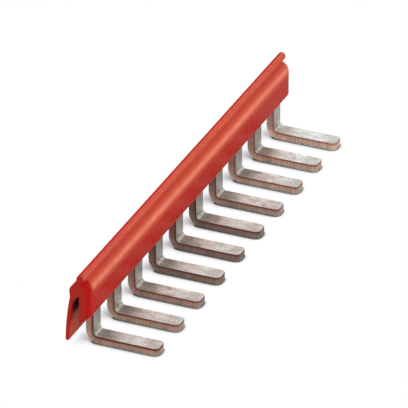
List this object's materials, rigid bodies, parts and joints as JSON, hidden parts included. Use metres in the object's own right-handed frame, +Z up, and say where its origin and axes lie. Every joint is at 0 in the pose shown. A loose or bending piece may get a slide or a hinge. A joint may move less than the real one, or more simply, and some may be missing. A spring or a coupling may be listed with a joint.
{
  "type": "terminal jumper",
  "caption": "Comb-type jumper: a row of bent flat prongs on one spine under a red insulating strip, for linking neighbouring screw terminals.",
  "frame": {"origin": "middle of the footprint, on the plane that the prongs lie on", "axes": "+X along the strip, the prongs reach towards -Y, +Z up from the prongs to the strip's bead"},
  "size_m": [0.0628, 0.0112, 0.0102],
  "materials": {
    "tinned_copper": "bright tin plating over copper sheet, with the bare copper showing at the sheared sides",
    "red_plastic": "semi-gloss red moulded plastic"
  },
  "bodies": {
    "root": {"contact_comb": "tinned_copper", "insulating_strip": "red_plastic"}
  },
  "joints": []
}
